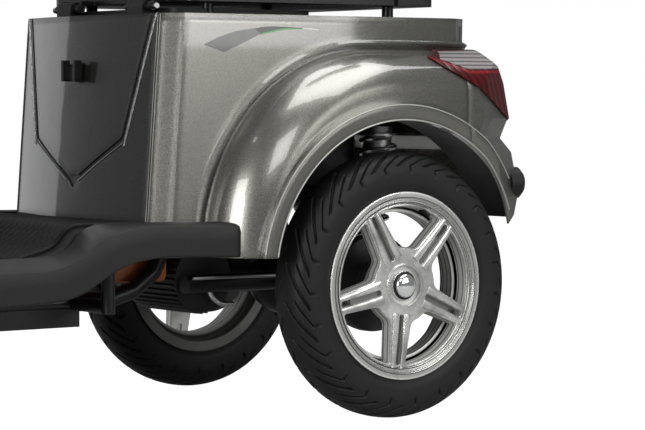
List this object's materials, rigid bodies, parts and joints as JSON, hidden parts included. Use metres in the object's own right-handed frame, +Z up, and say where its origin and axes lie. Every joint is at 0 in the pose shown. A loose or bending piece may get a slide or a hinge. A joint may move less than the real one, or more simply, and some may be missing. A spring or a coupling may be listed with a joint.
{
  "type": "electric three-wheeled scooter",
  "caption": "Electric three-wheeler for one rider: one steered front wheel, two rear wheels under flared fenders, a flat floor and a tilting seat.",
  "frame": {"origin": "on the ground, midway between the foremost and rearmost points and on the centre plane", "axes": "+Z up, +Y towards the rear, +X towards the rider's left"},
  "size_m": [0.643, 1.6828, 1.16],
  "materials": {
    "silver_paint": "metallic gloss",
    "dark_gloss": "gloss",
    "black_plastic": "fine grain",
    "mat_rubber": "matte",
    "tyre_rubber": "matte",
    "rim_alloy": "polished",
    "hub_chrome": "polished",
    "red_lens": "gloss",
    "clear_lens": "gloss",
    "frame_paint": "satin",
    "bare_steel": "satin",
    "seat_cover": "soft grain",
    "battery_case": "satin"
  },
  "bodies": {
    "chassis": {"side_panel_left": "silver_paint", "side_panel_right": "silver_paint", "rear_panel": "silver_paint", "front_fairing": "silver_paint", "front_panel": "dark_gloss", "leg_shield": "dark_gloss", "floor_board": "black_plastic", "deck": "black_plastic", "inner_fender_left": "black_plastic", "inner_fender_right": "black_plastic", "bag_hook": "black_plastic", "seat_hinge_block": "black_plastic", "storage_tub": "black_plastic", "floor_mat": "mat_rubber", "bumper_left": "mat_rubber", "bumper_right": "mat_rubber", "motor": "rim_alloy", "tail_lamp_left": "red_lens", "tail_lamp_right": "red_lens", "headlamp": "clear_lens", "main_frame": "frame_paint", "axle_housing": "frame_paint", "shock_left": "bare_steel", "shock_right": "bare_steel", "battery_pack": "battery_case"},
    "wheel_front": {"tyre_front": "tyre_rubber", "rim_front": "rim_alloy", "brake_drum_front": "bare_steel"},
    "wheel_left": {"tyre_left": "tyre_rubber", "rim_left": "rim_alloy", "hub_cap_left": "hub_chrome", "brake_drum_left": "bare_steel"},
    "wheel_right": {"tyre_right": "tyre_rubber", "rim_right": "rim_alloy", "hub_cap_right": "hub_chrome", "brake_drum_right": "bare_steel"},
    "steering": {"fork": "frame_paint", "front_fender": "silver_paint", "handlebar": "bare_steel", "grip_left": "mat_rubber", "grip_right": "mat_rubber", "dash": "black_plastic", "mirror_left": "black_plastic", "mirror_right": "black_plastic"},
    "seat": {"seat_base": "frame_paint", "seat_bracket_left": "frame_paint", "seat_bracket_right": "frame_paint", "seat_cushion": "seat_cover"},
    "backrest": {"backrest_frame": "black_plastic", "backrest_pad": "seat_cover"},
    "armrest_left": {"armrest_left": "seat_cover"},
    "armrest_right": {"armrest_right": "seat_cover"}
  },
  "joints": [
    {"name": "steering_turn", "type": "hinge", "parent": "chassis", "child": "steering", "pos_m": [0, -0.47719, 0.45], "axis": [0, 0.4067, 0.9135], "range_deg": [-40, 40]},
    {"name": "front_spin", "type": "hinge", "parent": "steering", "child": "wheel_front", "pos_m": [0, -0.62, 0.203], "axis": [1, 0, 0], "continuous": true},
    {"name": "left_spin", "type": "hinge", "parent": "chassis", "child": "wheel_left", "pos_m": [0.2785, 0.56, 0.203], "axis": [1, 0, 0], "continuous": true},
    {"name": "right_spin", "type": "hinge", "parent": "chassis", "child": "wheel_right", "pos_m": [-0.2785, 0.56, 0.203], "axis": [1, 0, 0], "continuous": true},
    {"name": "seat_tilt", "type": "hinge", "parent": "chassis", "child": "seat", "pos_m": [0, 0.222, 0.624], "axis": [1, 0, 0], "range_deg": [0, 60]},
    {"name": "backrest_fold", "type": "hinge", "parent": "seat", "child": "backrest", "pos_m": [0, 0.712, 0.805], "axis": [1, 0, 0], "range_deg": [0, 45]},
    {"name": "armrest_left_lift", "type": "hinge", "parent": "seat", "child": "armrest_left", "pos_m": [0.258, 0.64, 0.86], "axis": [1, 0, 0], "range_deg": [-90, 0]},
    {"name": "armrest_right_lift", "type": "hinge", "parent": "seat", "child": "armrest_right", "pos_m": [-0.258, 0.64, 0.86], "axis": [1, 0, 0], "range_deg": [-90, 0]}
  ]
}
